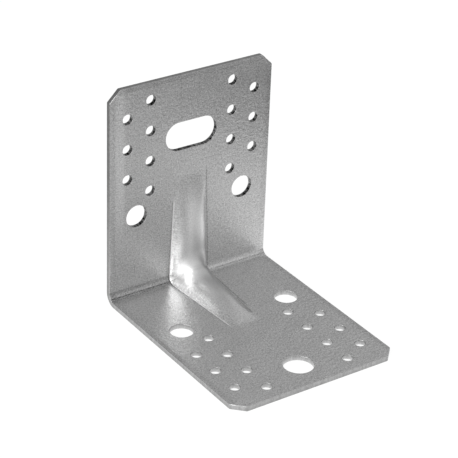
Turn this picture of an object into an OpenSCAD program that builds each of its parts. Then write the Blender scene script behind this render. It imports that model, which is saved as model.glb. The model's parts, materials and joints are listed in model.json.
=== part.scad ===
// Reinforced angle bracket, folded from one galvanised steel sheet.
// X runs across the width and is zero on the middle line. Y is zero on the back of the
// upright leg, Z is zero on the underside of the base leg, and the base leg runs towards -Y.
// The origin is therefore the heel: the place where the two mounting faces would meet.

/* [Sheet] */
// Width of both legs
width = 90; // [84:1:140]
// Height of the upright leg, from the underside of the base
upright_height = 112; // [106:1:180]
// Length of the base leg, from the back of the upright
base_length = 111; // [106:1:180]
// Thickness of the sheet
sheet = 2.5; // [1.5:0.1:3.5]
// Inner radius of the fold
fold_r = 3.6; // [2:0.1:6]
// How far each free corner is cut back, along both of its edges
corner_cut = 5.7; // [2:0.1:8]

/* [Nail holes] */
// Diameter of a nail hole
nail_d = 5.2; // [3:0.1:6]
// Distance from the middle line to the inner column
nail_inner_x = 22.7; // [18:0.1:26]
// Distance between the inner and the outer column
nail_column_gap = 12.6; // [8:0.1:14]
// Distance between two holes of a column
nail_pitch = 15.65; // [10:0.05:16.5]
// Distance from the free edge to the first hole of the inner column
nail_edge = 9; // [6:0.1:12]
// How much further in the outer column starts
nail_stagger = 6.85; // [4:0.05:9]
// Holes in an inner column
nail_inner_count = 4; // [1:1:4]
// Holes in an outer column
nail_outer_count = 3; // [1:1:3]

/* [Bolt holes] */
// Diameter of a bolt hole
bolt_d = 11.4; // [6:0.1:12]
// Distance from the middle line to a bolt hole
bolt_x = 30; // [26:0.1:34]
// Height of the bolt holes on the upright leg
bolt_upright = 44.3; // [30:0.1:46]
// Distance of the bolt holes on the base leg from the back of the upright
bolt_base = 43.2; // [30:0.1:46]

/* [Slot and centre hole] */
// Length of the slot in the upright leg, from end to end
slot_length = 28.5; // [16:0.5:30]
// Width of the slot
slot_width = 14.5; // [8:0.1:16]
// Distance from the top edge to the middle of the slot
slot_edge = 31.5; // [24:0.5:36]
// Diameter of the centre hole in the base leg
centre_d = 14.5; // [8:0.1:18]
// Distance from the front edge to the middle of the centre hole
centre_edge = 16; // [13:0.5:30]

/* [Rib] */
// Width of the rib's foot at the fold
rib_width = 21.8; // [16:0.2:26]
// Width of the rib's foot where it runs out on the upright leg
rib_upright_end_width = 17.2; // [12:0.2:20]
// Width of the rib's foot where it runs out on the base leg
rib_base_end_width = 16; // [12:0.2:20]
// Height at which the rib runs out on the upright leg
rib_upright_end = 59; // [45:0.5:64]
// Distance from the back of the upright at which the rib runs out on the base leg
rib_base_end = 54; // [45:0.5:64]
// Rise of the rib above a leg where its crest leaves the elbow
rib_rise = 6.2; // [4:0.1:8]
// How softly the rise falls off towards both run-outs
rib_fall = 1.4; // [1:0.1:1.6]
// Radius of the crest round the elbow, seen from the side
elbow_r = 12; // [8:0.5:16]
// Steepest slope of the rib's flanks
flank_limit = 66; // [55:1:78]
// Share of the flank's turn that the rounded crest takes, against the hollow foot
crest_share = 0.82; // [0.4:0.02:0.9]
// Angle at which the foot meets the leg, as a share of the flank's slope
foot_share = 0.35; // [0.15:0.01:0.4]

/* [Hidden] */
$fn = 72;
// Distance that a cutter runs past the face that it cuts
past = 1;
// Depth below the face of a leg at which the rib's skin ends
sink = 0.03;
// Width of the band along the rib's sides in which its skin runs inside the sheet
side_lap = 0.5;
// Length of the same band at both run-outs
end_lap = 3;
// Least angle at which the foot meets the leg
least_foot = 8;
// Steps of the rib along a leg, beside the fold, round the fold and over half of its width
leg_steps = 8;
beside_steps = 6;
fold_steps = 10;
half_steps = 12;
// Halvings of the interval in which the flank's slope is looked for
halvings = 18;

// Centre of the fold in the side view, as a distance from both mounting faces
fold_c = sheet + fold_r;
// Centre of the crest's sweep round the elbow, as a distance from both mounting faces
elbow_c = sheet + rib_rise + elbow_r;
// Angle at the elbow's centre, from the level ray to the ray that meets the fold's upper end
fold_angle = atan((elbow_c - fold_c) / (elbow_c - sheet));

// Turns leg coordinates into the upright: x, distance from the heel, depth from the mounting face
module on_upright() {
    rotate([90, 0, 0]) children();
}

// Turns leg coordinates into the base leg
module on_base() {
    mirror([0, 1, 0]) children();
}

// Side view of the fold and both legs: first axis is Y, second is Z
module fold_profile() {
    translate([-sheet, fold_c]) square([sheet, upright_height - fold_c]);
    translate([-base_length, 0]) square([base_length - fold_c, sheet]);
    intersection() {
        translate([-fold_c, 0]) square(fold_c);
        translate([-fold_c, fold_c]) difference() {
            circle(r = fold_c);
            circle(r = fold_r);
        }
    }
}

module folded_sheet() {
    rotate([90, 0, 90]) linear_extrude(width, center = true) fold_profile();
}

// A round hole through a leg, at x and at a distance from the heel
module drill(x, distance, d) {
    translate([x, distance, -past]) cylinder(d = d, h = sheet + 2 * past);
}

// One column of nail holes on each side, the first a given distance from the free edge
module nail_columns(leg, x, first, count) {
    for (side = [-1, 1], row = [0 : count - 1])
        drill(side * x, leg - first - row * nail_pitch, nail_d);
}

// All the nail holes of one leg
module nail_field(leg) {
    nail_columns(leg, nail_inner_x, nail_edge, nail_inner_count);
    nail_columns(leg, nail_inner_x + nail_column_gap, nail_edge + nail_stagger, nail_outer_count);
}

module bolt_pair(distance) {
    for (side = [-1, 1]) drill(side * bolt_x, distance, bolt_d);
}

// The triangles that take off a leg's two free corners
module corner_cuts(leg) {
    for (side = [-1, 1])
        translate([side * width / 2, leg, -past])
            rotate(45)
                cube([corner_cut * sqrt(2), corner_cut * sqrt(2), 2 * (sheet + 2 * past)], center = true);
}

// The long hole of the upright leg: two drilled ends and what lies between them
module slot() {
    half = (slot_length - slot_width) / 2;
    centre = upright_height - slot_edge;
    for (side = [-1, 1]) drill(side * half, centre, slot_width);
    translate([-half, centre - slot_width / 2, -past])
        cube([2 * half, slot_width, sheet + 2 * past]);
}

// Rise of the crest above a leg, at a distance from the heel: level at the elbow, and falling
// softly to the run-out, where the crest has gone below the leg's face by the sink
function leg_rise(distance, end) =
    let (share = (distance - elbow_c) / (end - elbow_c))
    (rib_rise + sink) * pow(1 - share * share, rib_fall) - sink;

// Half of the foot's width, which narrows evenly from the fold to the run-out
function half_foot(distance, end, end_width) =
    (rib_width - (rib_width - end_width) * max(0, distance - fold_c) / (end - fold_c)) / 2;

// Distance along a ray from the elbow's centre to one surface of the folded sheet, which lies
// at depth from the mounting faces and has the radius r round the fold
function ray_to(a, depth, r) =
    let (gap = elbow_c - fold_c, flat = elbow_c - depth, limit = atan(gap / flat))
    a < limit ? flat / cos(a)
    : a > 90 - limit ? flat / sin(a)
    : let (along = gap * (cos(a) + sin(a)))
      along + sqrt(along * along - 2 * gap * gap + r * r);

// A station of the rib: its foot on the sheet's inner face as [Y, Z], the direction in which
// the rib rises, its rise, half of its width, and the sheet's depth against that direction
function upright_station(z) =
    [[-sheet, z], [-1, 0], leg_rise(z, rib_upright_end),
     half_foot(z, rib_upright_end, rib_upright_end_width), sheet];

function base_station(d) =
    [[-d, sheet], [0, 1], leg_rise(d, rib_base_end),
     half_foot(d, rib_base_end, rib_base_end_width), sheet];

function elbow_station(a) =
    let (
        ray = ray_to(a, sheet, fold_r),
        y = -elbow_c + ray * cos(a),
        z = elbow_c - ray * sin(a)
    )
    [[y, z], [-cos(a), sin(a)], ray - elbow_r,
     a < 45 ? half_foot(z, rib_upright_end, rib_upright_end_width)
            : half_foot(-y, rib_base_end, rib_base_end_width),
     ray_to(a, 0, fold_c) - ray];

// Places spread evenly between two limits and half a step clear of both, so that no ring of
// the rib falls on the line where a leg meets the fold
function spread(from, to, steps) =
    [for (i = [0 : steps - 1]) from + (to - from) * (i + 0.5) / steps];

// Every station, from a height on the upright round the elbow to a distance on the base
function rib_stations(first, last) = [
    upright_station(first),
    for (z = spread(first, elbow_c, leg_steps)) upright_station(z),
    for (a = spread(0, fold_angle, beside_steps)) elbow_station(a),
    for (a = spread(fold_angle, 90 - fold_angle, fold_steps)) elbow_station(a),
    for (a = spread(90 - fold_angle, 90, beside_steps)) elbow_station(a),
    for (d = spread(elbow_c, last, leg_steps)) base_station(d),
    base_station(last)
];
stations = rib_stations(rib_upright_end, rib_base_end);
window_stations = rib_stations(rib_upright_end - end_lap, rib_base_end - end_lap);

// Angle at which the foot meets the leg, for a slope of the flank
function foot_angle(flank) = min(flank, max(foot_share * flank, least_foot));

// Half width and rise of a section whose arcs have a radius sum of one
function arc_reach(flank) =
    sin(flank) - (1 - crest_share) * sin(foot_angle(flank));
function arc_rise(flank) =
    crest_share + (1 - crest_share) * cos(foot_angle(flank)) - cos(flank);

// Slope of the flank at which the two arcs alone give a wanted ratio of rise to half width
function flank_for(ratio, low, high, left) =
    let (mid = (low + high) / 2)
    left == 0 ? mid
    : arc_rise(mid) < ratio * arc_reach(mid) ? flank_for(ratio, mid, high, left - 1)
    : flank_for(ratio, low, mid, left - 1);

// Height of a section above its foot at x: the crest's arc, a straight flank where the rib
// is deep, and the hollow arc of the foot
function section_height(x, rise, half) =
    let (
        flank = flank_for(rise / half, 0, flank_limit, halvings),
        foot = foot_angle(flank),
        radii = (half * sin(flank) - rise * cos(flank))
            / (arc_reach(flank) * sin(flank) - arc_rise(flank) * cos(flank)),
        crest_r = crest_share * radii,
        foot_r = radii - crest_r,
        crest_x = crest_r * sin(flank),
        foot_x = half - foot_r * (sin(flank) - sin(foot))
    )
    x >= half ? 0
    : x <= crest_x ? rise - crest_r + sqrt(crest_r * crest_r - x * x)
    : x < foot_x ? rise - crest_r * (1 - cos(flank)) - (x - crest_x) * tan(flank)
    : foot_r * (cos(foot) - sqrt(1 - pow(sin(foot) + (half - x) / foot_r, 2)));

// The whole section from left to right as [x, height], ending just inside the sheet
function section(rise, half) = [
    for (i = [-half_steps : half_steps])
        let (x = half * i / half_steps)
        [x, section_height(abs(x), rise + sink, half) - sink]
];

// A point of a station, at x and at a height above the sheet's inner face
function lift(station, x, height) =
    [x, station[0][0] + height * station[1][0], station[0][1] + height * station[1][1]];

// The rib's outer skin, one row of points for each station
skin = [for (s = stations) [for (p = section(s[2], s[3])) lift(s, p[0], p[1])]];
rows = len(skin);
columns = len(skin[0]);

// Direction from the outer skin to the inner one at a point of the grid
function inward(i, j) =
    let (
        along = skin[i + 1][j] - skin[i - 1][j],
        across = skin[i][j + 1] - skin[i][j - 1],
        n = cross(across, along)
    )
    n / norm(n);

// The rib's inner skin: the outer one moved inwards by the thickness of the sheet, and
// kept just inside the back face at its borders
function inner_point(i, j) =
    i == 0 || i == rows - 1 || j == 0 || j == columns - 1
    ? skin[i][j] - (stations[i][4] - 2 * sink) * [0, stations[i][1][0], stations[i][1][1]]
    : skin[i][j] + sheet * inward(i, j);

// Two triangles for a cell of a grid whose rows lie a stride apart
function cell(a, b, stride) = [[a, b, a + stride], [b, b + stride, a + stride]];

// A closed solid through rings of points that all have as many points
module loft(rings) {
    count = len(rings[0]);
    half = count / 2;
    last = (len(rings) - 1) * count;
    polyhedron(
        points = [for (ring = rings) each ring],
        faces = [
            for (i = [0 : len(rings) - 2], j = [0 : count - 1])
                each cell(i * count + j, i * count + (j + 1) % count, count),
            for (j = [0 : half - 2])
                each [[j, count - 1 - j, j + 1], [j + 1, count - 1 - j, count - 2 - j]],
            for (j = [0 : half - 2])
                each [[last + j, last + j + 1, last + count - 1 - j],
                      [last + j + 1, last + count - 2 - j, last + count - 1 - j]]
        ]
    );
}

// The pressed rib: one thickness of sheet between its outer and its inner skin
module rib() {
    loft([
        for (i = [0 : rows - 1])
            concat(skin[i], [for (j = [columns - 1 : -1 : 0]) inner_point(i, j)])
    ]);
}

// The opening in the folded sheet that the rib fills
module rib_window() {
    loft([
        for (s = window_stations)
            let (half = s[3] - side_lap)
            [lift(s, -half, past), lift(s, half, past),
             lift(s, half, -sheet - fold_r), lift(s, -half, -sheet - fold_r)]
    ]);
}

// Every hole and corner cut of both legs
module cuts() {
    on_upright() {
        nail_field(upright_height);
        bolt_pair(bolt_upright);
        slot();
        corner_cuts(upright_height);
    }
    on_base() {
        nail_field(base_length);
        bolt_pair(bolt_base);
        drill(0, base_length - centre_edge, centre_d);
        corner_cuts(base_length);
    }
}

module bracket() {
    color("darkgray") {
        difference() {
            folded_sheet();
            rib_window();
            cuts();
        }
        rib();
    }
}

bracket();
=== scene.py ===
"""Galvanised angle bracket: the sheet with its true bend, pressed rib, sheared edges and zinc skin.

The whole bracket is one surface. A point of the flat blank has the coordinates u, across the
width, and s, along the inner face, and the classes below say where the bend and the rib carry
it. Lengths are in metres unless a name says otherwise.
"""

import json
import logging
import math
from dataclasses import dataclass, field
from enum import Enum

import bmesh
import bpy
import numpy as np
from mathutils import Matrix, Vector
from mathutils.geometry import delaunay_2d_cdt


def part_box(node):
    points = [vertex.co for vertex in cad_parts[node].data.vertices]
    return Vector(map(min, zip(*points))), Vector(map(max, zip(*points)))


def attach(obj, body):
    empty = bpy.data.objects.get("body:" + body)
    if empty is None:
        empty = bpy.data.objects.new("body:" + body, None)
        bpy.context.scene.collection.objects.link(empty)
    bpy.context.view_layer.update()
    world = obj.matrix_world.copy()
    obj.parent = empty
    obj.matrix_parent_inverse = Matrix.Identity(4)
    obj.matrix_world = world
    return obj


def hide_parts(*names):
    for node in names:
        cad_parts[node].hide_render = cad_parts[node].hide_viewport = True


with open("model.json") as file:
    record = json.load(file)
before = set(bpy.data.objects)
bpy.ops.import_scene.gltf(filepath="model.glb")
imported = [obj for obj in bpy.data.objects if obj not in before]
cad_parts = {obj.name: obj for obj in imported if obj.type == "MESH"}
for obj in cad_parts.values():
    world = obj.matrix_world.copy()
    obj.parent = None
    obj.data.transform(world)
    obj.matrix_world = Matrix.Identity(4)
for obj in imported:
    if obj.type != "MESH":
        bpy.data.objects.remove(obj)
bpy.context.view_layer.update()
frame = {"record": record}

LOG = logging.getLogger("bracket")
MM = 0.001
IMAGE_PIXELS = 458
SENSOR_MM = 36.0
PLATE_TOLERANCE_MM = 1e-7
Array = np.ndarray


def put(name: str, data: bpy.types.ID) -> bpy.types.Object:
    """Make an object in the scene.

    Args:
        name: the object's name.
        data: its mesh, lamp or camera.

    Returns:
        The object.
    """
    made = bpy.data.objects.new(name, data)
    bpy.context.scene.collection.objects.link(made)
    return made


class Leg(Enum):
    """The two legs, with the sign that the coordinate s has on each."""

    UPRIGHT = 1
    BASE = -1


@dataclass(frozen=True)
class Fold:
    """The bend between the legs. On the inner face s is zero in the middle of the bend."""

    thickness: float = 2.5 * MM
    radius: float = 3.6 * MM

    @property
    def centre(self) -> float:
        """Distance of the bend's centre from both mounting faces."""
        return self.thickness + self.radius

    @property
    def half_arc(self) -> float:
        """Half of the bend's length along the inner face."""
        return self.radius * math.pi / 4

    def at(self, leg: Leg, distance: float) -> float:
        """Coordinate s of a place on a leg, from its distance to the heel."""
        return leg.value * (self.half_arc + distance - self.centre)

    def beyond(self, s: Array) -> Array:
        """How far s lies on a leg, counted from the end of the bend."""
        return np.maximum(np.abs(s) - self.half_arc, 0)

    def turn(self, s: Array) -> Array:
        """Angle of the bend that has been passed at s: none on the base, a right angle above."""
        return np.clip(s / self.radius + math.pi / 4, 0, math.pi / 2)

    def foot(self, s: Array) -> tuple[Array, Array]:
        """Side view of the inner face: a quarter circle that runs on as two straight lines.

        Args:
            s: coordinate along the inner face.

        Returns:
            The Y and the Z of the face.
        """
        turn, beyond = self.turn(s), self.beyond(s)
        y = -self.centre + self.radius * np.sin(turn) - np.where(s < 0, beyond, 0)
        z = self.centre - self.radius * np.cos(turn) + np.where(s > 0, beyond, 0)
        return y, z


@dataclass(frozen=True)
class Rib:
    """The rib that a press forms across the bend."""

    fold: Fold = Fold()
    width: float = 21.8 * MM
    upright_end_width: float = 17.2 * MM
    base_end_width: float = 16.0 * MM
    upright_end: float = 59.0 * MM
    base_end: float = 54.0 * MM
    rise: float = 6.2 * MM
    elbow_radius: float = 12.0 * MM
    flank_limit: float = math.radians(66)
    crest_share: float = 0.82
    foot_share: float = 0.35
    fall: float = 1.4
    least_rise: float = 0.02 * MM
    halvings: int = 30

    @property
    def elbow_centre(self) -> float:
        """Distance from both mounting faces to the centre of the crest's sweep."""
        return self.fold.thickness + self.rise + self.elbow_radius

    def end(self, s: Array) -> Array:
        """Distance from the heel at which the rib runs out, on the leg that s lies on."""
        return np.where(s > 0, self.upright_end, self.base_end)

    def half_width(self, s: Array) -> Array:
        """Half of the foot's width, which narrows evenly from the bend to the run-out.

        Args:
            s: coordinate along the inner face.

        Returns:
            The half width for each s.
        """
        end_width = np.where(s > 0, self.upright_end_width, self.base_end_width)
        share = self.fold.beyond(s) / (self.end(s) - self.fold.centre)
        return (self.width - (self.width - end_width) * share) / 2

    def aim(self, s: Array) -> tuple[Array, Array, Array]:
        """Direction in which the sheet is pushed: towards the elbow's centre, or off the leg.

        Args:
            s: coordinate along the inner face.

        Returns:
            The Y and Z of the unit direction, and the length of the ray to the elbow's centre
            or, on a leg past the elbow, to the line that runs on from it.
        """
        y, z = self.fold.foot(s)
        to_y = np.minimum(y, -self.elbow_centre) - y
        to_z = np.maximum(z, self.elbow_centre) - z
        ray = np.hypot(to_y, to_z)
        return to_y / ray, to_z / ray, ray

    def crest(self, s: Array) -> Array:
        """Height of the crest above the sheet.

        At the elbow it is the ray less the elbow's radius. On a leg it falls softly to the
        run-out, as a power of what a parabola leaves.

        Args:
            s: coordinate along the inner face.

        Returns:
            The height for each s.
        """
        ray = self.aim(s)[2]
        distance = self.fold.centre + self.fold.beyond(s)
        share = (distance - self.elbow_centre) / (self.end(s) - self.elbow_centre)
        left = 1 - np.clip(share, 0, 1) ** 2
        return (ray - self.elbow_radius) * left**self.fall

    def flank(self, ratio: Array) -> Array:
        """Slope of the flank at which two arcs alone give a ratio of rise to half width.

        Args:
            ratio: wanted rise over half width.

        Returns:
            The slope in radians, no steeper than the limit, found by halving an interval.
        """
        low = np.zeros_like(ratio)
        high = np.full_like(ratio, self.flank_limit)
        for _ in range(self.halvings):
            middle = (low + high) / 2
            reach, lift = self.arcs(middle)
            steeper = lift < ratio * reach
            low = np.where(steeper, middle, low)
            high = np.where(steeper, high, middle)
        return (low + high) / 2

    def arcs(self, flank: Array) -> tuple[Array, Array]:
        """Size of a section whose crest and foot arcs have a radius sum of one.

        Args:
            flank: slope of the flank in radians.

        Returns:
            The half width and the rise.
        """
        foot = self.foot_share * flank
        hollow = 1 - self.crest_share
        reach = np.sin(flank) - hollow * np.sin(foot)
        lift = self.crest_share + hollow * np.cos(foot) - np.cos(flank)
        return reach, lift

    def height(self, u: Array, s: Array) -> Array:
        """Height of the rib: a rounded crest, a straight flank and a hollow arc at the foot.

        Args:
            u: coordinate across the width.
            s: coordinate along the inner face.

        Returns:
            The height above the sheet, zero outside the rib.
        """
        crest, half, across = self.crest(s), self.half_width(s), np.abs(u)
        rise = np.maximum(crest, self.least_rise)
        flank = self.flank(rise / half)
        foot = self.foot_share * flank
        reach, lift = self.arcs(flank)
        radii = (half * np.sin(flank) - rise * np.cos(flank)) / (
            reach * np.sin(flank) - lift * np.cos(flank)
        )
        crest_r = self.crest_share * radii
        foot_r = radii - crest_r
        crest_edge = crest_r * np.sin(flank)
        foot_edge = half - foot_r * (np.sin(flank) - np.sin(foot))
        top = rise - crest_r + np.sqrt(np.maximum(crest_r**2 - across**2, 0))
        side = rise - crest_r * (1 - np.cos(flank)) - (across - crest_edge) * np.tan(flank)
        lean = np.clip(np.sin(foot) + (half - across) / foot_r, 0, 1)
        hollow = foot_r * (np.cos(foot) - np.sqrt(1 - lean**2))
        height = np.where(across < foot_edge, side, hollow)
        height = np.where(across <= crest_edge, top, height)
        return np.where(across < half, height, 0) * crest / rise


@dataclass(frozen=True)
class DieLine:
    """The fine groove that the die's edge leaves beside the rib, deepest on its middle line."""

    depth: float = 0.17 * MM
    half_width: float = 0.6 * MM
    base_left_end: float = 54.0 * MM
    base_right_end: float = 43.0 * MM
    upright_left_end: float = 50.0 * MM
    upright_right_end: float = 63.0 * MM
    fade: float = 5.0 * MM

    def cut(self, rib: Rib, u: Array, s: Array) -> Array:
        """Depth of the groove: (1 - q squared) squared across it, faded in at its ends."""
        q = np.clip((np.abs(u) - rib.half_width(s)) / self.half_width, -1, 1)
        return self.depth * (1 - q**2) ** 2 * self.strength(rib, u, s)

    def strength(self, rib: Rib, u: Array, s: Array) -> Array:
        """Share of the groove that is left towards its ends, which differ by leg and side.

        Args:
            rib: the rib whose foot the groove follows.
            u: coordinate across the width.
            s: coordinate along the inner face.

        Returns:
            One along the groove, falling evenly to none at its end.
        """
        distance = rib.fold.centre + rib.fold.beyond(s)
        upright_end = np.where(u < 0, self.upright_left_end, self.upright_right_end)
        base_end = np.where(u < 0, self.base_left_end, self.base_right_end)
        end = np.where(s > 0, upright_end, base_end)
        return np.clip((end - distance) / self.fade, 0, 1)


@dataclass(frozen=True)
class PressedSheet:
    """Carries points of the flat blank to their places on the folded and pressed bracket."""

    fold: Fold = Fold()
    rib: Rib = Rib()
    die_line: DieLine = DieLine()
    probe: float = 0.02 * MM

    def front(self, u: Array, s: Array) -> Array:
        """The inner face: its side view, pushed out along the rib's aim by the rib's height.

        Args:
            u: coordinate across the width.
            s: coordinate along the inner face.

        Returns:
            Rows of X, Y and Z.
        """
        y, z = self.fold.foot(s)
        aim_y, aim_z, _ = self.rib.aim(s)
        height = self.rib.height(u, s)
        return np.column_stack([u, y + height * aim_y, z + height * aim_z])

    def normal(self, u: Array, s: Array) -> Array:
        """Unit normal of the inner face: cross product of its differences along u and s.

        Args:
            u: coordinate across the width.
            s: coordinate along the inner face.

        Returns:
            Rows of X, Y and Z.
        """
        across = self.front(u + self.probe, s) - self.front(u - self.probe, s)
        along = self.front(u, s + self.probe) - self.front(u, s - self.probe)
        normal = np.cross(across, along)
        return normal / np.linalg.norm(normal, axis=1, keepdims=True)

    def place(self, blank: Array) -> Array:
        """Places of points of the blank.

        Args:
            blank: rows of u, s and the depth below the inner face.

        Returns:
            Rows of X, Y and Z: the inner face moved against its normal by the depth, and on
            the face itself by the die line's groove.
        """
        u, s, depth = blank.T
        groove = np.where(depth == 0, self.die_line.cut(self.rib, u, s), 0)
        return self.front(u, s) - (depth + groove)[:, None] * self.normal(u, s)


@dataclass(frozen=True)
class EdgeLoop:
    """A closed edge of the blank: its points, and unit vectors that point into the sheet.

    A hole runs counter-clockwise and the outline clockwise, so that the sheet lies on the
    right of both.
    """

    points: Array
    inward: Array

    def offset(self, distance: float) -> Array:
        """The loop moved into the sheet by a distance."""
        return self.points + distance * self.inward


@dataclass(frozen=True)
class ShearedEdge:
    """Profile of a punched edge: a rolled-in front rim, the wall and a small back rim."""

    thickness: float
    roll_width: float = 0.28 * MM
    roll_depth: float = 0.2 * MM
    back_radius: float = 0.12 * MM
    support: float = 0.25 * MM
    roll_steps: int = 6
    back_steps: int = 3

    def profile(self) -> Array:
        """Rows of distance into the sheet and depth below its front face.

        Two quarter ellipses are joined by the straight wall. A flat strip at each end keeps
        the rims' shading off the plates.

        Returns:
            The rows, from the front plate's border to the back plate's.
        """
        roll = np.linspace(0, math.pi / 2, self.roll_steps)
        back = np.linspace(0, math.pi / 2, self.back_steps)
        return np.vstack([
            [self.front_guard, 0],
            np.column_stack([
                self.roll_width * (1 - np.sin(roll)), self.roll_depth * (1 - np.cos(roll))
            ]),
            [0, self.roll_depth + self.support / 2],
            [0, self.thickness - self.back_radius - self.support / 2],
            np.column_stack([
                self.back_radius * (1 - np.cos(back)),
                self.thickness - self.back_radius * (1 - np.sin(back)),
            ]),
            [self.back_guard, self.thickness],
        ])

    @property
    def front_guard(self) -> float:
        """Distance from the edge to the front plate's border."""
        return self.roll_width + self.support

    @property
    def back_guard(self) -> float:
        """Distance from the edge to the back plate's border."""
        return self.back_radius + self.support


@dataclass
class Patch:
    """Part of the surface: rows of u, s and depth, and faces as lists of row numbers."""

    blank: Array
    faces: list[list[int]]


def grid_faces(rows: int, columns: int, closed: bool = False) -> Array:
    """Quads between the neighbouring points of a grid.

    Args:
        rows: number of rows.
        columns: number of points in a row.
        closed: whether the last point of a row joins the first.

    Returns:
        One row of four point numbers for each quad.
    """
    row, column = np.meshgrid(
        np.arange(rows - 1), np.arange(columns if closed else columns - 1), indexing="ij"
    )
    beside = (column + 1) % columns
    corners = [
        row * columns + column, row * columns + beside,
        (row + 1) * columns + beside, (row + 1) * columns + column,
    ]
    return np.stack(corners, axis=-1).reshape(-1, 4)


def inside(points: Array, loops: list[Array]) -> Array:
    """Whether points lie inside an odd number of loops, by the edges that a ray to +u crosses.

    Args:
        points: rows of u and s.
        loops: closed loops of rows of u and s.

    Returns:
        One truth value for each point.
    """
    start = np.concatenate(loops)
    stop = np.concatenate([np.roll(loop, -1, axis=0) for loop in loops])
    u, s = points[:, 0, None], points[:, 1, None]
    spans = (start[:, 1] > s) != (stop[:, 1] > s)
    run = np.where(stop[:, 1] == start[:, 1], 1, stop[:, 1] - start[:, 1])
    crossing = start[:, 0] + (s - start[:, 1]) * (stop[:, 0] - start[:, 0]) / run
    return (spans & (crossing > u)).sum(axis=1) % 2 == 1


def plate(loops: list[Array], depth: float) -> Patch:
    """A flat plate between closed loops, as constrained Delaunay triangles.

    Args:
        loops: the outline and the holes, as rows of u and s.
        depth: depth of the plate below the front face; a plate at depth faces backwards.

    Returns:
        The patch, made of the triangles whose centre lies inside an odd number of loops.
    """
    edges, first = [], 0
    for loop in loops:
        numbers = first + np.arange(len(loop))
        edges += np.column_stack([numbers, np.roll(numbers, -1)]).tolist()
        first += len(loop)
    points = [Vector(point) for point in (np.concatenate(loops) / MM).tolist()]
    found, _, faces, *_ = delaunay_2d_cdt(points, edges, [], 0, PLATE_TOLERANCE_MM)
    corners = np.array([tuple(point) for point in found]) * MM
    triangles = np.array([face for face in faces if len(face) == 3])
    triangles = triangles[inside(corners[triangles].mean(axis=1), loops)]
    if depth > 0:
        triangles = triangles[:, ::-1]
    blank = np.column_stack([corners, np.full(len(corners), depth)])
    return Patch(blank, triangles.tolist())


def rim(loop: EdgeLoop, edge: ShearedEdge) -> Patch:
    """The sheared edge's profile carried round a loop.

    Args:
        loop: the edge on the blank.
        edge: the profile.

    Returns:
        The patch, one ring of points for each row of the profile.
    """
    profile = edge.profile()
    rings = [
        np.column_stack([loop.offset(distance), np.full(len(loop.points), depth)])
        for distance, depth in profile
    ]
    faces = grid_faces(len(profile), len(loop.points), closed=True)
    return Patch(np.concatenate(rings), faces.tolist())


def circle(u: float, s: float, radius: float, steps: int) -> EdgeLoop:
    """A round hole's edge.

    Args:
        u: coordinate of its middle across the width.
        s: coordinate of its middle along the inner face.
        radius: its radius.
        steps: number of points.

    Returns:
        The edge, counter-clockwise.
    """
    turn = np.linspace(0, 2 * math.pi, steps, endpoint=False)
    outward = np.column_stack([np.cos(turn), np.sin(turn)])
    return EdgeLoop(np.array([u, s]) + radius * outward, outward)


def long_hole(u: float, s: float, length: float, width: float, steps: int) -> EdgeLoop:
    """The edge of a slot that lies across the leg: two half circles joined by lines.

    Args:
        u: coordinate of its middle across the width.
        s: coordinate of its middle along the inner face.
        length: its length, with both half circles.
        width: its width.
        steps: points on each half circle.

    Returns:
        The edge, counter-clockwise.
    """
    turn = np.linspace(-math.pi / 2, math.pi / 2, steps)
    right = np.column_stack([np.cos(turn), np.sin(turn)])
    outward = np.concatenate([right, -right])
    shift = np.repeat([[1, 0], [-1, 0]], steps, axis=0) * (length - width) / 2
    return EdgeLoop(np.array([u, s]) + shift + outward * width / 2, outward)


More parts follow.
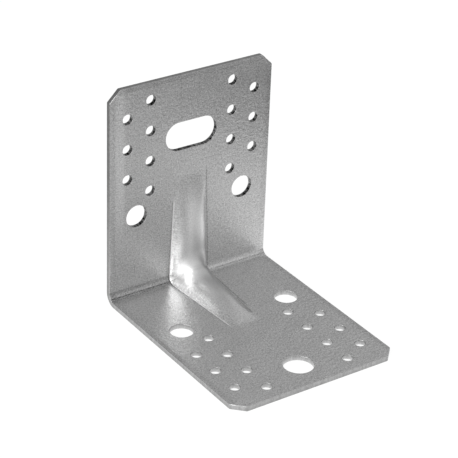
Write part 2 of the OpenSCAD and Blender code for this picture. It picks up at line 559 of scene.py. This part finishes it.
@dataclass(frozen=True)
class Blank:
    """The flat blank: its outline and its holes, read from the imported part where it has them."""

    sheet: PressedSheet
    half_width: float
    height: float
    length: float
    corner_cut: float = 5.7 * MM
    corner_radius: float = 0.9 * MM
    corner_steps: int = 5
    slot_length: float = 28.5 * MM
    slot_width: float = 14.5 * MM
    steps_per_mm: float = 2.4
    least_steps: int = 16

    def corner(self, before: Vector, at: Vector, after: Vector) -> EdgeLoop:
        """A rounded corner of the clockwise outline.

        Its centre lies the radius away from both edges, so its points are the centre less the
        radius times a unit vector that turns from one edge's inward normal to the other's.

        Args:
            before: the corner before it.
            at: the corner itself.
            after: the corner after it.

        Returns:
            The arc's points and inward vectors.
        """
        first, second = (at - before).normalized(), (after - at).normalized()
        from_angle = math.atan2(-first.x, first.y)
        turn = first.angle_signed(second)
        angles = from_angle - np.linspace(0, turn, self.corner_steps)
        inward = np.column_stack([np.cos(angles), np.sin(angles)])
        ends = inward[0] + inward[-1]
        centre = np.array(at) + ends * self.corner_radius / (1 + inward[0] @ inward[-1])
        return EdgeLoop(centre - self.corner_radius * inward, inward)

    def corners(self, leg: Leg) -> EdgeLoop:
        """The four rounded corners of one leg, clockwise.

        Args:
            leg: the leg.

        Returns:
            The corners' arcs, as one part of the outline.
        """
        free = leg.value * self.sheet.fold.at(
            leg, self.height if leg is Leg.UPRIGHT else self.length
        )
        cut, half = self.corner_cut, self.half_width
        path = [(-half, 0), (-half, free - cut), (cut - half, free),
                (half - cut, free), (half, free - cut), (half, 0)]
        points = [Vector(point) * leg.value for point in path]
        arcs = [self.corner(*points[i - 1:i + 2]) for i in range(1, len(points) - 1)]
        return EdgeLoop(
            np.concatenate([arc.points for arc in arcs]),
            np.concatenate([arc.inward for arc in arcs]),
        )

    def outline(self, bend_rows: Array) -> EdgeLoop:
        """The whole clockwise outline.

        Args:
            bend_rows: values of s, rising, at which both long sides need a point in the bend.

        Returns:
            The upright's corners, the right side, the base's corners and the left side.
        """
        upright, base = self.corners(Leg.UPRIGHT), self.corners(Leg.BASE)
        sides = np.column_stack([np.full_like(bend_rows, self.half_width), bend_rows])
        to_right = np.tile([1.0, 0.0], (len(bend_rows), 1))
        return EdgeLoop(
            np.concatenate([upright.points, sides[::-1], base.points, sides * [-1, 1]]),
            np.concatenate([upright.inward, -to_right, base.inward, to_right]),
        )

    def inset(self, u: Array, s: Array) -> Array:
        """How far points of the blank lie from its straight outer edges, cut corners too.

        Args:
            u: coordinate across the width.
            s: coordinate along the inner face.

        Returns:
            The distance to the nearest edge.
        """
        fold = self.sheet.fold
        end = np.where(s > 0, fold.at(Leg.UPRIGHT, self.height), -fold.at(Leg.BASE, self.length))
        across, along = self.half_width - np.abs(u), end - np.abs(s)
        cut = (across + along - self.corner_cut) / math.sqrt(2)
        return np.minimum(np.minimum(across, along), cut)

    def hole(self, u: float, s: float, radius: float) -> EdgeLoop:
        """A round hole with points in proportion to its size."""
        steps = self.least_steps + 2 * round(self.steps_per_mm * radius / MM)
        return circle(u, s, radius, steps)

    def holes(self, mounts: list[dict]) -> dict[Leg, list[EdgeLoop]]:
        """Every hole of both legs.

        Args:
            mounts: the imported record's mounts, which give the round holes' places and sizes.

        Returns:
            The holes' edges for each leg.
        """
        found = {leg: [] for leg in Leg}
        for mount in mounts:
            leg = Leg.UPRIGHT if abs(mount["axis"][1]) > abs(mount["axis"][2]) else Leg.BASE
            x, y, z = mount["pos_m"]
            distance = z if leg is Leg.UPRIGHT else -y
            s, dims = self.sheet.fold.at(leg, distance), mount["dims"]
            if mount["kind"] == "bolt_pattern":
                shift_u = dims["spacing_x_mm"] / 2 * MM
                shift_s = leg.value * dims.get("spacing_y_mm", 0) / 2 * MM
                found[leg] += [
                    self.hole(x + side, s + row, dims["hole_r_mm"] * MM)
                    for side in (-shift_u, shift_u) for row in dict.fromkeys((-shift_s, shift_s))
                ]
            elif mount["kind"] == "bore":
                found[leg].append(self.hole(x, s, dims["r_mm"] * MM))
            elif mount["name"] == "upright_slot":
                steps = round(self.steps_per_mm * self.slot_width / MM)
                found[leg].append(long_hole(x, s, self.slot_length, self.slot_width, steps))
        return found


@dataclass(frozen=True)
class RibGrid:
    """Rows and columns of the fine grid that covers the rib and its die lines."""

    sheet: PressedSheet
    row_step: float = 0.62 * MM
    bend_steps: int = 16
    margin: float = 2.0 * MM
    bend_support: float = 0.4 * MM
    inner_columns: int = 40
    crease_columns: int = 12
    crease_share: float = 0.1
    border_share: float = 1.15

    @property
    def bend_rows(self) -> Array:
        """Values of s across the bend, with one more row on each leg for its shading."""
        half = self.sheet.fold.half_arc
        inner = np.linspace(-half, half, self.bend_steps + 1)
        return np.concatenate([[-half - self.bend_support], inner, [half + self.bend_support]])

    def leg_rows(self, leg: Leg) -> Array:
        """Rows from the bend's last one to the far end of the grid on one leg.

        Args:
            leg: the leg.

        Returns:
            Their values of s.
        """
        ends = {Leg.UPRIGHT: self.sheet.die_line.upright_right_end,
                Leg.BASE: self.sheet.rib.base_end}
        start = leg.value * (self.sheet.fold.half_arc + self.bend_support)
        stop = self.sheet.fold.at(leg, ends[leg] + self.margin)
        return np.linspace(start, stop, round(abs(stop - start) / self.row_step))

    @property
    def shares(self) -> Array:
        """Places of the columns as shares of the rib's half width, dense at the crease."""
        low, high = 1 - self.crease_share, 1 + self.crease_share
        inner = np.linspace(0, low, self.inner_columns)
        crease = np.linspace(low, high, self.crease_columns)
        right = np.concatenate([inner[1:], crease[1:], [self.border_share]])
        return np.concatenate([-right[::-1], [0], right])

    def lines(self, s: Array) -> Array:
        """Grid of u for rows at s: each column is a fixed share of the rib's half width."""
        return self.shares[None, :] * self.sheet.rib.half_width(s)[:, None]


@dataclass
class Bracket:
    """The whole bracket as one closed surface, with the marks that its finish follows.

    A face's depth is zero in front and the sheet's thickness behind. Its guard is the distance
    from an edge at which it starts.
    """

    sheet: PressedSheet
    blank: Blank
    mounts: list[dict]
    edge: ShearedEdge = field(init=False)
    grid: RibGrid = field(init=False)
    merge_distance: float = 0.001 * MM
    outer_reach: float = 1.0 * MM

    def __post_init__(self) -> None:
        """Derive the edge's profile and the rib's grid from the sheet."""
        self.edge = ShearedEdge(self.sheet.fold.thickness)
        self.grid = RibGrid(self.sheet)

    def rib_patch(self, depth: float) -> Patch:
        """The fine grid over the rib, on the front or, at depth, on the back.

        Args:
            depth: the face's depth.

        Returns:
            The grid's patch.
        """
        base, upright = self.grid.leg_rows(Leg.BASE), self.grid.leg_rows(Leg.UPRIGHT)
        s = np.concatenate([base[:0:-1], self.grid.bend_rows, upright[1:]])
        u = self.grid.lines(s)
        along = np.broadcast_to(s[:, None], u.shape)
        points = np.column_stack([u.ravel(), along.ravel(), np.full(u.size, depth)])
        return Patch(points, self.facing(grid_faces(*u.shape), depth))

    def bend_strip(self, side: int, depth: float, guard: float) -> Patch:
        """The bend between the rib's grid and one side edge.

        Args:
            side: -1 for the left and 1 for the right.
            depth: the face's depth.
            guard: the face's guard.

        Returns:
            The strip's patch.
        """
        s = self.grid.bend_rows
        near = side * np.abs(self.grid.lines(s)[:, 0])
        far = np.full_like(s, side * (self.blank.half_width - guard))
        u = np.column_stack([near, far] if side > 0 else [far, near])
        points = np.column_stack([u.ravel(), np.repeat(s, 2), np.full(u.size, depth)])
        return Patch(points, self.facing(grid_faces(len(s), 2), depth))

    def plate_border(self, leg: Leg, guard: float) -> Array:
        """Border of a leg's flat plate: round its free corners, then round the rib's grid.

        Args:
            leg: the leg.
            guard: the face's guard.

        Returns:
            Rows of u and s.
        """
        s = self.grid.leg_rows(leg)
        u = np.abs(self.grid.lines(s)[:, 0])
        free = self.blank.corners(leg).offset(guard)
        reach = leg.value * (self.blank.half_width - guard)
        near_side = leg.value * u
        end_row = leg.value * self.grid.lines(s[-1:])[0][::-1]
        return np.concatenate([
            [[-reach, s[0]]], free, [[reach, s[0]]],
            np.column_stack([near_side, s])[:-1],
            np.column_stack([end_row, np.full_like(end_row, s[-1])]),
            np.column_stack([-near_side, s])[:-1][::-1],
        ])

    @staticmethod
    def facing(faces: Array, depth: float) -> list[list[int]]:
        """Faces as lists, turned round where the patch lies on the back."""
        return (faces[:, ::-1] if depth > 0 else faces).tolist()

    def patches(self) -> list[Patch]:
        """Build the rims of all edges, and both faces with their rib, bend and plates.

        Returns:
            Every patch of the closed surface.
        """
        holes = self.blank.holes(self.mounts)
        outline = self.blank.outline(self.grid.bend_rows)
        loops = [outline, *holes[Leg.UPRIGHT], *holes[Leg.BASE]]
        made = [rim(loop, self.edge) for loop in loops]
        faces = [(0.0, self.edge.front_guard), (self.edge.thickness, self.edge.back_guard)]
        for depth, guard in faces:
            made.append(self.rib_patch(depth))
            made += [self.bend_strip(side, depth, guard) for side in (-1, 1)]
            for leg in Leg:
                borders = [self.plate_border(leg, guard)]
                borders += [hole.offset(guard) for hole in holes[leg]]
                made.append(plate(borders, depth))
        return made

    def build(self) -> bpy.types.Object:
        """Join the patches, carry them to their places and weld their shared borders.

        Returns:
            The bracket's object.
        """
        patches = self.patches()
        blank = np.concatenate([patch.blank for patch in patches])
        faces, first = [], 0
        for patch in patches:
            faces += [[first + corner for corner in face] for face in patch.faces]
            first += len(patch.blank)
        mesh = bpy.data.meshes.new("bracket_sheet")
        mesh.from_pydata(self.sheet.place(blank).tolist(), [], faces)
        self.mark(mesh, blank)
        weld = bmesh.new()
        weld.from_mesh(mesh)
        bmesh.ops.remove_doubles(weld, verts=weld.verts, dist=self.merge_distance)
        weld.to_mesh(mesh)
        weld.free()
        mesh.polygons.foreach_set("use_smooth", np.ones(len(mesh.polygons), bool))
        return put("bracket_sheet", mesh)

    def mark(self, mesh: bpy.types.Mesh, blank: Array) -> None:
        """Store what the finish follows, as attributes of the mesh.

        They are blank, its coordinates in mm; wall, one on a sheared wall; pressed, the rib's
        height as a share of its rise; outer, one near the outline; line, the die line's
        strength on the front; and beside, the distance in mm outwards from the rib's foot.

        Args:
            mesh: the mesh before its borders are welded.
            blank: rows of u, s and depth, one for each vertex.
        """
        u, s, depth = blank.T
        inner = np.minimum(depth, self.edge.thickness - depth)
        wall = np.clip(inner / self.edge.roll_depth, 0, 1)
        pressed = np.clip(self.sheet.rib.height(u, s) / self.sheet.rib.rise, 0, 1)
        line = self.sheet.die_line.strength(self.sheet.rib, u, s) * (depth == 0)
        beside = (np.abs(u) - self.sheet.rib.half_width(s)) / MM
        outer = (self.blank.inset(u, s) < self.outer_reach).astype(float)
        place = mesh.attributes.new("blank", "FLOAT_VECTOR", "POINT")
        place.data.foreach_set("vector", (blank / MM).astype(np.float32).ravel())
        for name, values in (
            ("wall", wall), ("pressed", pressed), ("outer", outer),
            ("line", line), ("beside", beside),
        ):
            layer = mesh.attributes.new(name, "FLOAT", "POINT")
            layer.data.foreach_set("value", values.astype(np.float32))


@dataclass(frozen=True)
class Ramp:
    """A smooth step between two values, with the results before and after it."""

    start: float
    stop: float
    before: float
    after: float


@dataclass(frozen=True)
class Strip:
    """A strip of tone: full up to one distance from its middle, faded out at another."""

    middle: float
    inner: float
    outer: float
    tone: float


class Flow:
    """A node's output in Python arithmetic: each operation adds its Math node."""

    def __init__(self, book: "NodeBook", socket: bpy.types.NodeSocket) -> None:
        """Keep the node book that the output belongs to, and the output."""
        self.book = book
        self.socket = socket

    def __add__(self, other: "Flow | float") -> "Flow":
        """Sum."""
        return self.book.math("ADD", self, other)

    def __sub__(self, other: "Flow | float") -> "Flow":
        """Difference."""
        return self.book.math("SUBTRACT", self, other)

    def __rsub__(self, other: float) -> "Flow":
        """Difference from a number."""
        return self.book.math("SUBTRACT", other, self)

    def __mul__(self, other: "Flow | float") -> "Flow":
        """Product."""
        return self.book.math("MULTIPLY", self, other)

    def __abs__(self) -> "Flow":
        """Size without its sign."""
        return self.book.math("ABSOLUTE", self, 0.0)

    def fade(self, ramp: Ramp) -> "Flow":
        """Map this value over a ramp.

        Args:
            ramp: the ramp.

        Returns:
            The ramp's result.
        """
        sockets = {"Value": self, "From Min": ramp.start, "From Max": ramp.stop,
                   "To Min": ramp.before, "To Max": ramp.after}
        return self.book.add("MapRange", sockets, interpolation_type="SMOOTHSTEP")

    def tone(self, strip: Strip) -> "Flow":
        """A strip's tone at this coordinate."""
        return abs(self - strip.middle).fade(Ramp(strip.inner, strip.outer, strip.tone, 0.0))

    def axis(self, name: str) -> "Flow":
        """One coordinate of a place or direction."""
        return self.book.add("SeparateXYZ", {"Vector": self}, name)

    __radd__ = __add__
    __rmul__ = __mul__


class NodeBook:
    """Adds nodes to a tree and links them."""

    def __init__(self, owner: bpy.types.Material | bpy.types.World) -> None:
        """Start the owner's tree anew.

        Args:
            owner: the material or world that the tree belongs to.
        """
        owner.use_nodes = True
        self.tree = owner.node_tree
        self.tree.nodes.clear()

    def add(self, kind: str, sockets: dict, output: int | str = 0, **settings: str) -> Flow | None:
        """Add one node.

        Args:
            kind: the node's type, less the prefix that all shader nodes have.
            sockets: values or flows for its inputs, by name or number.
            output: the output that is wanted.
            settings: the node's properties, set before its inputs.

        Returns:
            The wanted output, or none where the node has no outputs.
        """
        node = self.tree.nodes.new(f"ShaderNode{kind}")
        for name, value in settings.items():
            setattr(node, name, value)
        for name, value in sockets.items():
            if isinstance(value, Flow):
                self.tree.links.new(value.socket, node.inputs[name])
            else:
                node.inputs[name].default_value = value
        return Flow(self, node.outputs[output]) if node.outputs else None

    def math(self, operation: str, first: "Flow | float", second: "Flow | float") -> Flow:
        """A Math node on two flows or numbers."""
        return self.add("Math", {0: first, 1: second}, operation=operation)

    def vector(
        self, operation: str, first: Flow, second: tuple = (0, 0, 0), output: str = "Vector"
    ) -> Flow:
        """A Vector Math node on a flow and a constant."""
        return self.add("VectorMath", {0: first, 1: second}, output, operation=operation)

    def attribute(self, name: str, output: str) -> Flow:
        """An attribute of the mesh."""
        return self.add("Attribute", {}, output, attribute_name=name)

    def noise(self, place: Flow, scale: float, detail: float) -> Flow:
        """Noise about zero, from half below to half above."""
        sockets = {"Vector": place, "Scale": scale, "Detail": detail}
        return self.add("TexNoise", sockets, "Fac") - 0.5

    def grey(self, value: Flow) -> Flow:
        """A grey colour from one value."""
        channels = {"Red": value, "Green": value, "Blue": value}
        return self.add("CombineColor", channels)


@dataclass(frozen=True)
class Skin:
    """A place on the mesh, in millimetres of the blank, with its depth as a share of the sheet."""

    book: NodeBook
    place: Flow
    u: Flow
    s: Flow
    deep: Flow

    def mark(self, name: str) -> Flow:
        """One of the marks that the bracket stores on its mesh, beside the coordinates."""
        return self.book.attribute(name, "Fac")


@dataclass(frozen=True)
class BendShade:
    """Painted shade inside the bend: two dark lines along it, and a darker band on its left side.
    """

    line: Strip = Strip(-0.3, 0.0, 0.6, 0.32)
    low_line: Strip = Strip(-1.6, 0.4, 1.6, 0.1)
    left_band_shade: Strip = Strip(0.6, 1.8, 3.1, 0.33)
    left: Ramp = Ramp(-9.0, 9.0, 1.0, 0.0)

    def loss(self, skin: Skin) -> Flow:
        """Tone that the painted shade in the bend takes away."""
        lines = skin.s.tone(self.line) + skin.s.tone(self.low_line)
        return lines + skin.u.fade(self.left) * skin.s.tone(self.left_band_shade)


@dataclass(frozen=True)
class FootGlintAndShade:
    """Painted highlight and shade along the die line: a light hairline on the rib's left foot,
    darker tone just outside the foot.
    """

    # painted highlight: a light hairline on the left foot
    light: Strip = Strip(0.0, 0.15, 0.4, 0.6)
    left: Ramp = Ramp(-1.0, 1.0, 1.0, 0.0)
    # painted shade just outside the rib's foot
    painted_shade: Strip = Strip(0.55, 0.1, 0.45, 0.28)

    def gain(self, skin: Skin) -> Flow:
        """Tone that the painted highlight and shade add beside the rib's foot.

        Args:
            skin: the place on the mesh.

        Returns:
            The tone.
        """
        beside = skin.mark("beside")
        light = skin.u.fade(self.left) * beside.tone(self.light)
        return (light - beside.tone(self.painted_shade)) * skin.mark("line")


@dataclass(frozen=True)
class RibHighlightAndShade:
    """Painted highlight and shade on the rib: lighter at the elbow's left and on the crest, a
    little darker on the left flank.
    """

    # painted highlight at the elbow's left
    elbow_highlight: float = 0.23
    # painted highlight on the crest
    crest: Strip = Strip(1.0, 2.5, 6.5, 0.36)
    # painted shade on the left flank
    left_flank_shade: float = -0.08
    middle_scale: float = 6.75
    above_bend: Ramp = Ramp(-2.0, 6.0, 0.0, 1.0)
    left: Ramp = Ramp(-3.0, 1.5, 1.0, 0.0)

    def gain(self, skin: Skin, pressed: Flow) -> Flow:
        """Tone that the painted highlight and shade add.

        The elbow's part follows the rib's height squared. The rest is strongest on the way up
        to the elbow: the height squared times one less the height, scaled to reach one.

        Args:
            skin: the place on the mesh.
            pressed: the rib's height as a share of its rise.

        Returns:
            The tone.
        """
        squared, left = pressed * pressed, skin.u.fade(self.left)
        middle = self.middle_scale * squared * (1 - pressed)
        crest = skin.u.tone(self.crest) * skin.s.fade(self.above_bend)
        return self.elbow_highlight * squared * left + middle * (crest + self.left_flank_shade * left)


@dataclass(frozen=True)
class EdgeShadeAndLight:
    """Painted shade in strips along the upright's top and the long sides, and a painted lighter
    strip on the left.
    """

    # painted shade along the upright's top
    top: Ramp = Ramp(2.0, 2.4, 0.27, 0.0)
    # painted shade along the long sides
    side: Ramp = Ramp(2.8, 3.4, 0.07, 0.0)
    # painted light: a lighter strip on the left plate
    light: Strip = Strip(-39.5, 1.2, 4.0, 0.2)
    light_height: Ramp = Ramp(20.0, 50.0, 0.0, 1.0)
    front_share: float = 0.04

    def loss(self, skin: Skin, side: Flow, top: Flow) -> Flow:
        """Tone that the painted shade strips take away on the front face, less what the painted
        lighter strip adds.

        Args:
            skin: the place on the mesh.
            side: distance to the nearer long side.
            top: distance to the upright's top.

        Returns:
            The tone.
        """
        light = skin.u.tone(self.light) * skin.s.fade(self.light_height)
        front = skin.book.math("LESS_THAN", skin.deep, self.front_share)
        return (top.fade(self.top) + side.fade(self.side) - light) * front


@dataclass(frozen=True)
class SteelWallsAndShade:
    """Bare steel where the sheet was cut, most streaked in the upright's holes, with painted shade
    and reflection: darker in the upright's holes, lighter towards the back of all holes, darker
    towards the back of the outer walls.
    """

    hole: float = -0.55
    # painted shade: the upright's hole walls darker
    upright_hole_shade: float = -0.3
    # painted reflection: hole walls lighter towards their back
    hole_back_reflection: float = 0.25
    outer: float = -0.24
    # painted shade: outer walls darker towards their back
    outer_back_shade: float = -0.25
    upright: Ramp = Ramp(-1.0, 1.0, 0.0, 1.0)
    streaks: float = 0.4
    streaks_upright: float = 1.8
    streak_scale: float = 1.1
    streak_detail: float = 1.0
    streak_stretch: tuple[float, float, float] = (1.0, 1.0, 0.3)

    def gain(self, skin: Skin) -> Flow:
        """Tone that a wall adds: the bare steel's, with painted shade and reflection that change
        evenly from its front to its back.

        Args:
            skin: the place on the mesh.

        Returns:
            The tone.
        """
        outer, upright = skin.mark("outer"), skin.s.fade(self.upright)
        # painted shade and reflection in the hole walls, on the bare steel's tone
        hole_tone = self.hole + self.upright_hole_shade * upright + self.hole_back_reflection * skin.deep
        # painted shade towards the back of the outer walls
        outer_tone = self.outer + self.outer_back_shade * skin.deep
        stretched = skin.book.vector("MULTIPLY", skin.place, self.streak_stretch)
        noise = skin.book.noise(stretched, self.streak_scale, self.streak_detail)
        streaks = self.streaks + self.streaks_upright * upright * (1 - outer)
        return hole_tone * (1 - outer) + outer_tone * outer + streaks * noise


@dataclass(frozen=True)
class Texture:
    """A noise in the zinc, and how strongly it shows in the tone and the roughness."""

    scale: float
    detail: float
    tone: float
    roughness: float = 0.0


@dataclass(frozen=True)
class ZincSkin:
    """Hot-dip zinc on steel sheet: matt grey with fine grain, and bare steel at sheared walls.

    The patterns follow the blank's coordinates, so the lengths of this finish and its parts are
    in millimetres. A tone is a share of the grey that is added or taken away.
    """

    blank: Blank
    # painted shade inside the bend
    bend_shade: BendShade = BendShade()
    # painted highlight and shade at the rib's foot
    foot_glint_and_shade: FootGlintAndShade = FootGlintAndShade()
    # painted highlight and shade on the rib
    rib_highlight_and_shade: RibHighlightAndShade = RibHighlightAndShade()
    # painted shade strips at the edges, and a painted lighter strip
    edge_shade_and_light: EdgeShadeAndLight = EdgeShadeAndLight()
    # bare steel's tone on the walls, with painted shade and reflection
    wall_tone_and_shade: SteelWallsAndShade = SteelWallsAndShade()
    grain: Texture = Texture(1.5, 3.0, 1.5, 0.3)
    wrinkles: Texture = Texture(0.6, 2.0, 0.35)
    clouds: Texture = Texture(0.12, 2.0, 0.15, 0.08)
    grey: float = 0.64
    metallic: float = 1.0
    roughness: float = 0.36
    pressed_roughness: float = 0.05
    smooth_share: float = 0.75
    wrinkle_depth: float = 0.18
    roll_width: float = 2.0
    roll_depth: float = 0.3

    def make(self) -> bpy.types.Material:
        """Build the finish from the mesh's attributes.

        Returns:
            The material.
        """
        material = bpy.data.materials.new("galvanised_steel")
        book = NodeBook(material)
        place = book.attribute("blank", "Vector")
        u, s, depth = (place.axis(name) for name in "XYZ")
        skin = Skin(book, place, u, s, depth * (MM / self.blank.sheet.fold.thickness))
        wall, pressed = skin.mark("wall"), skin.mark("pressed")
        side, top = self.to_edges(skin)
        grain, wrinkles, clouds = (
            book.noise(place, texture.scale, texture.detail)
            for texture in (self.grain, self.wrinkles, self.clouds)
        )
        face = (1 - wall) * (1 - self.smooth_share * pressed)
        pattern = self.grain.tone * grain + self.wrinkles.tone * wrinkles
        # painted shade inside the bend is taken from the zinc's pattern
        pattern = pattern - self.bend_shade.loss(skin)
        shade = (
            1 + pattern * face + self.clouds.tone * clouds
            # painted highlight and shade at the rib's foot
            + self.foot_glint_and_shade.gain(skin)
            # painted highlight and shade on the rib
            + self.rib_highlight_and_shade.gain(skin, pressed)
            # painted shade strips at the edges, and a painted lighter strip
            - self.edge_shade_and_light.loss(skin, side, top)
            # bare steel's tone on the walls, with painted shade and reflection
            + self.wall_tone_and_shade.gain(skin) * wall
        )
        roughness = (
            self.roughness + self.grain.roughness * grain * face
            + self.clouds.roughness * clouds + self.pressed_roughness * pressed
        )
        relief = wrinkles * face * (self.wrinkle_depth / self.roll_depth)
        bump = book.add("Bump", {
            "Height": relief - self.rolled(book, side, top),
            "Distance": self.roll_depth * MM, "Strength": 1.0,
        })
        shader = book.add("BsdfPrincipled", {
            "Base Color": book.grey(self.grey * shade), "Roughness": roughness,
            "Metallic": self.metallic, "Normal": bump,
        })
        book.add("OutputMaterial", {"Surface": shader})
        return material

    def to_edges(self, skin: Skin) -> tuple[Flow, Flow]:
        """Distances from a place to the nearer long side and to the upright's top."""
        end = self.blank.sheet.fold.at(Leg.UPRIGHT, self.blank.height)
        return self.blank.half_width / MM - abs(skin.u), end / MM - skin.s

    def rolled(self, book: NodeBook, side: Flow, top: Flow) -> Flow:
        """How far the edges are rolled down: one at the edge, evenly to none further in."""
        inner = book.math("MINIMUM", side, top) * (1 / self.roll_width)
        return 1 - book.math("MINIMUM", inner, 1.0)


def direction(azimuth: float, elevation: float) -> Vector:
    """Unit vector from the bracket to a viewer; at azimuth 0 the viewer looks along +Y."""
    a, e = math.radians(azimuth), math.radians(elevation)
    return Vector((math.sin(a) * math.cos(e), -math.cos(a) * math.cos(e), math.sin(e)))


@dataclass(frozen=True)
class Softbox:
    """The studio's lamp, on the left; its size is its width and height."""

    target: Vector
    name: str = "key_softbox"
    azimuth: float = -77.0
    elevation: float = 26.0
    distance: float = 1.1
    size: tuple[float, float] = (0.8, 0.8)
    power: float = 9.4

    def make(self) -> None:
        """Place the lamp on a sphere round its target, facing it."""
        data = bpy.data.lights.new(self.name, "AREA")
        data.shape = "RECTANGLE"
        data.size, data.size_y = self.size
        data.energy = self.power
        lamp = put(self.name, data)
        back = direction(self.azimuth, self.elevation)
        lamp.location = self.target + back * self.distance
        lamp.rotation_mode = "QUATERNION"
        lamp.rotation_quaternion = (-back).to_track_quat("-Z", "Y")


@dataclass(frozen=True)
class PhotoCamera:
    """The photograph's viewpoint, as an orbit round a target point."""

    azimuth: float = -34.143
    elevation: float = 29.710
    roll: float = 1.639
    distance: float = 869.79 * MM
    target: tuple[float, float, float] = (-15.32 * MM, -34.94 * MM, 37.63 * MM)
    focal_pixels: float = 1866.7
    optical_centre: tuple[float, float] = (200.0, 250.0)

    def make(self) -> None:
        """Create the camera and make it the scene's."""
        back = direction(self.azimuth, self.elevation)
        level = direction(self.azimuth + 90, 0)
        upright = back.cross(level)
        roll = math.radians(self.roll)
        right = level * math.cos(roll) + upright * math.sin(roll)
        up = upright * math.cos(roll) - level * math.sin(roll)
        data = bpy.data.cameras.new("photo_camera")
        data.sensor_width = SENSOR_MM
        data.lens = self.focal_pixels * SENSOR_MM / IMAGE_PIXELS
        middle = IMAGE_PIXELS / 2
        data.shift_x = (middle - self.optical_centre[0]) / IMAGE_PIXELS
        data.shift_y = (self.optical_centre[1] - middle) / IMAGE_PIXELS
        camera = put("photo_camera", data)
        turn = Matrix((right, up, back)).transposed().to_4x4()
        place = Vector(self.target) + back * self.distance
        camera.matrix_world = Matrix.Translation(place) @ turn
        bpy.context.scene.camera = camera


@dataclass(frozen=True)
class StudioFloor:
    """A wide level floor that stays white to the camera and keeps a soft shadow.

    The metal mirrors it less evenly: brightest round the bracket's foot, dim far off in front
    on the right with more light past that, dim on the left, and lighter behind on the right.
    Its ramps are over places on the floor.
    """

    foot_middle: Vector
    foot_half: Vector
    half: float = 6.0
    grey: float = 0.8
    white_share: float = 0.85
    strength: float = 1.1
    near: Ramp = Ramp(-0.006, 0.007, 0.58, 0.0)
    front_way: tuple[float, float, float] = (0.75, -0.66, 0.0)
    far: Ramp = Ramp(0.15, 0.2, 0.82, 0.02)
    beyond: Ramp = Ramp(0.28, 0.4, 0.0, 0.68)
    left: Ramp = Ramp(-0.13, -0.07, 0.55, 0.0)
    right: Ramp = Ramp(0.045, 0.065, 0.0, 0.4)
    back: Ramp = Ramp(-0.035, -0.01, 0.0, 1.0)

    def make(self) -> None:
        """Create the floor. Its white is for the rays that show a backdrop, the rest is matt."""
        half = self.half
        mesh = bpy.data.meshes.new("studio_floor")
        corners = [(-half, -half, 0), (half, -half, 0), (half, half, 0), (-half, half, 0)]
        mesh.from_pydata(corners, [], [(0, 1, 2, 3)])
        floor = put("studio_floor", mesh)
        material = bpy.data.materials.new("studio_floor")
        book = NodeBook(material)
        matt = book.add("BsdfDiffuse", {"Color": (self.grey,) * 3 + (1,)})
        camera, glossy, through = (
            book.add("LightPath", {}, f"Is {kind} Ray")
            for kind in ("Camera", "Glossy", "Transmission")
        )
        shown = book.math("MAXIMUM", book.math("MAXIMUM", camera, glossy), through)
        mirrored = self.mirrored(book)
        strength = mirrored + camera * (self.strength - mirrored)
        white = book.add("Emission", {"Color": (1, 1, 1, 1), "Strength": strength})
        sockets = {0: self.white_share * shown, 1: matt, 2: white}
        mixed = book.add("MixShader", sockets)
        book.add("OutputMaterial", {"Surface": mixed})
        mesh.materials.append(material)

    def mirrored(self, book: NodeBook) -> Flow:
        """Brightness of the floor in the metal, as a sum of its ramps.

        Args:
            book: the floor's nodes.

        Returns:
            The strength of the floor's light.
        """
        place = book.add("TexCoord", {}, "Object")
        from_middle = book.vector("SUBTRACT", place, tuple(self.foot_middle))
        reach = book.vector("ABSOLUTE", from_middle)
        outside = book.vector("SUBTRACT", reach, tuple(self.foot_half))
        away = book.math("MAXIMUM", outside.axis("X"), outside.axis("Y"))
        front = book.vector("DOT_PRODUCT", place, self.front_way, "Value")
        x, y = place.axis("X"), place.axis("Y")
        return (
            away.fade(self.near) + front.fade(self.far) + front.fade(self.beyond)
            - x.fade(self.left) + x.fade(self.right) * y.fade(self.back)
        )


@dataclass(frozen=True)
class StudioSky:
    """Surroundings: white at the horizon, darker overhead, behind, and low in front and right.

    Its ramps are over coordinates of a direction, and over how near it is to a dark corner.
    """

    overhead: Ramp = Ramp(0.15, 0.85, 0.92, 0.62)
    behind: Ramp = Ramp(0.45, 0.8, 1.0, 0.37)
    low: Ramp = Ramp(0.15, 0.5, 1.0, 0.0)
    front: Ramp = Ramp(-0.6, -0.1, 0.4, 0.0)
    right: Ramp = Ramp(0.5, 0.85, 0.0, 0.9)
    corner: Ramp = Ramp(0.65, 0.9, 1.0, 0.7)
    corner_way: tuple[float, float, float] = (-0.476, 0.719, 0.467)

    def make(self) -> None:
        """Create the world and make it the scene's."""
        world = bpy.data.worlds.new("studio")
        bpy.context.scene.world = world
        book = NodeBook(world)
        way = book.add("TexCoord", {}, "Generated")
        x, y, z = (way.axis(name) for name in "XYZ")
        sides = book.math("MAXIMUM", y.fade(self.front), x.fade(self.right))
        toward = book.vector("DOT_PRODUCT", way, self.corner_way, "Value")
        strength = z.fade(self.overhead) * y.fade(self.behind) * toward.fade(self.corner)
        strength = strength * (1 - z.fade(self.low) * sides)
        light = book.add(
            "Background", {"Color": (1, 1, 1, 1), "Strength": strength}
        )
        book.add("OutputWorld", {"Surface": light})


def main() -> None:
    """Build the camera, the studio and the bracket, and log what is made."""
    logging.basicConfig(level=logging.INFO, format="%(name)s: %(message)s")
    scene = bpy.context.scene
    scene.view_settings.view_transform = "Standard"
    low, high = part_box("bracket")
    middle, half = (low + high) / 2, (high - low) / 2
    for fixture in (PhotoCamera(), StudioFloor(middle, half), StudioSky(), Softbox(middle)):
        fixture.make()
        LOG.info("%s", type(fixture).__name__)
    sheet = PressedSheet()
    blank = Blank(sheet, half_width=high.x, height=high.z, length=-low.y)
    bracket = Bracket(sheet, blank, frame["record"]["mounts"])
    piece = bracket.build()
    piece.data.materials.append(ZincSkin(blank).make())
    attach(piece, "root")
    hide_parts("bracket")
    LOG.info("%s: %d faces", piece.name, len(piece.data.polygons))


if __name__ == "__main__":
    main()
